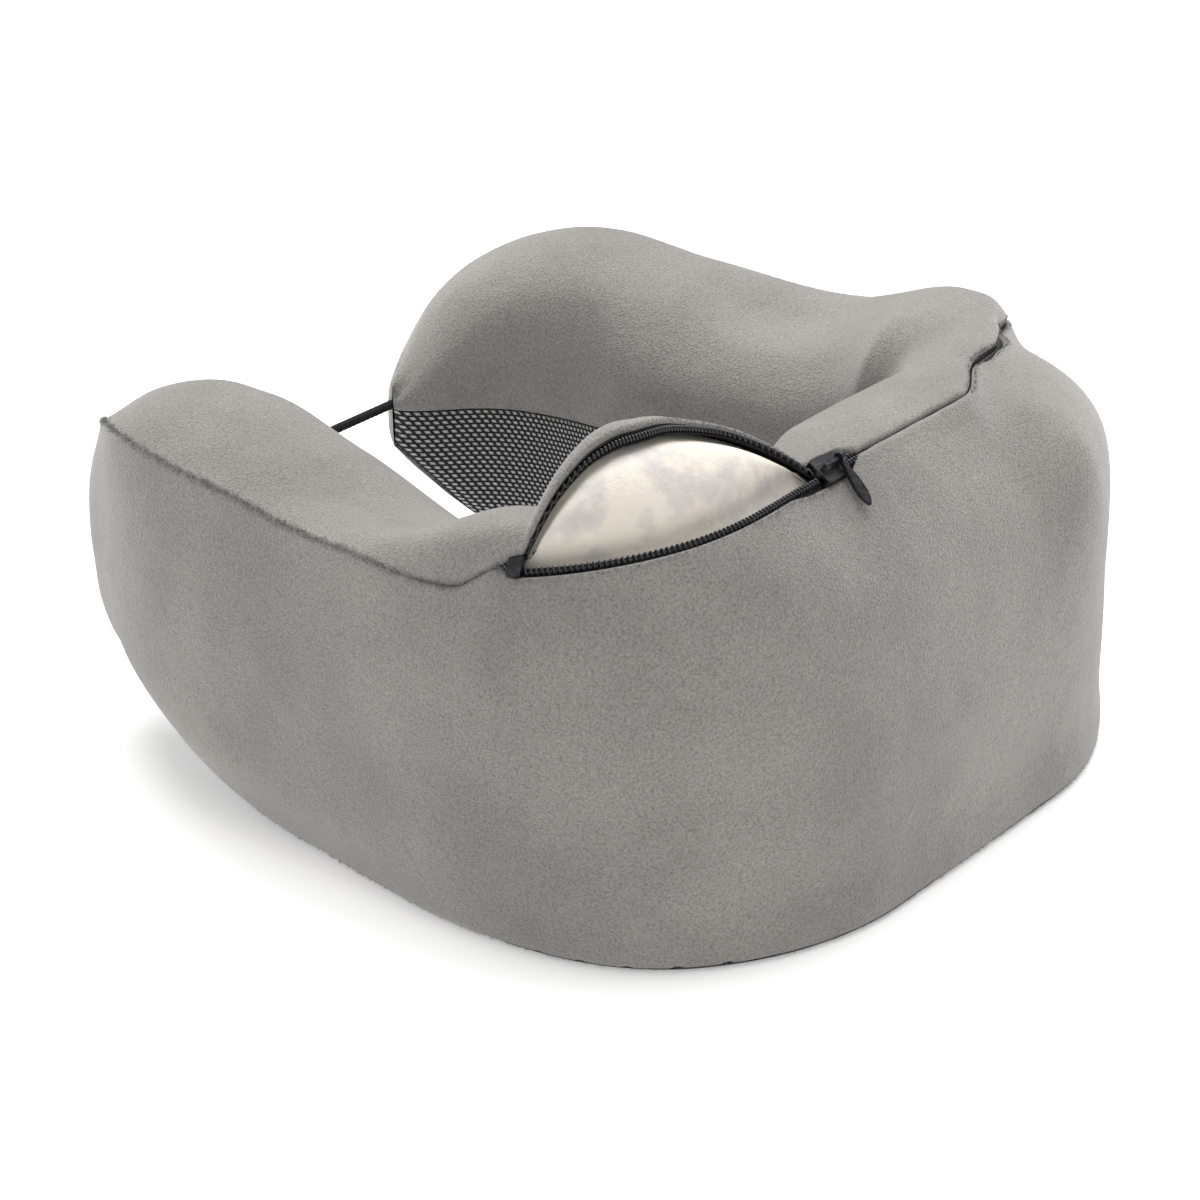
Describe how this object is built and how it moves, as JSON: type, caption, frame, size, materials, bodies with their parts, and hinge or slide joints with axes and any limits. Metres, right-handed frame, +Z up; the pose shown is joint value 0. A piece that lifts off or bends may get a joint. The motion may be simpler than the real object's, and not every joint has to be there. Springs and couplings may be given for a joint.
{
  "type": "u shaped neck pillow",
  "caption": "Grey velour U-shaped memory foam neck pillow with its zipper open on one side, mesh inner lining, front cord and sliding cord lock.",
  "frame": {"origin": "middle of the bounding box at the floor", "axes": "+Z up with the pillow resting on its base; +Y towards the open front of the U, where the cord is; +X towards the wearer's right"},
  "size_m": [0.2494, 0.2662, 0.1347],
  "materials": {
    "foam": "matte",
    "velour": "matte",
    "mesh": "matte",
    "base_cloth": "matte",
    "tape": "matte",
    "coil": "satin",
    "slider_metal": "satin",
    "cord": "matte",
    "lock_plastic": "satin",
    "spring_steel": "polished"
  },
  "bodies": {
    "pillow": {"foam_core": "foam", "outer_panel": "velour", "top_panel": "velour", "mesh_panel": "mesh", "base_panel": "base_cloth", "zipper_tape_lower": "tape", "zipper_tape_upper": "tape", "zipper_coil_lower": "coil", "zipper_coil_upper": "coil", "zipper_coil_ahead": "coil", "zipper_coil_closed": "coil", "zipper_stop_left": "coil", "zipper_stop_right": "coil", "neck_cord": "cord", "cord_anchor": "tape", "cord_loop": "tape", "cord_knot": "cord"},
    "slider": {"zipper_slider": "slider_metal"},
    "pull": {"zipper_pull_tab": "slider_metal"},
    "lock": {"cord_lock_body": "lock_plastic", "cord_lock_spring": "spring_steel"},
    "plunger": {"cord_lock_plunger": "lock_plastic"}
  },
  "joints": [
    {"name": "zipper_slide", "type": "slide", "parent": "pillow", "child": "slider", "axis": [1, 0, 0], "range_m": [0, 0.055], "deforming": ["zipper_coil_ahead"]},
    {"name": "pull_swing", "type": "hinge", "parent": "slider", "child": "pull", "pos_m": [-0.0254, -0.10188, 0.11996], "axis": [-1, 0, 0], "range_deg": [0, 150]},
    {"name": "cord_lock_slide", "type": "slide", "parent": "pillow", "child": "lock", "axis": [0, 0, -1], "range_m": [0, 0.012]},
    {"name": "plunger_press", "type": "slide", "parent": "lock", "child": "plunger", "axis": [0, -1, 0], "range_m": [0, 0.0014], "stiffness_N_per_m": 400, "springref_m": -0.003, "deforming": ["cord_lock_spring"]}
  ]
}
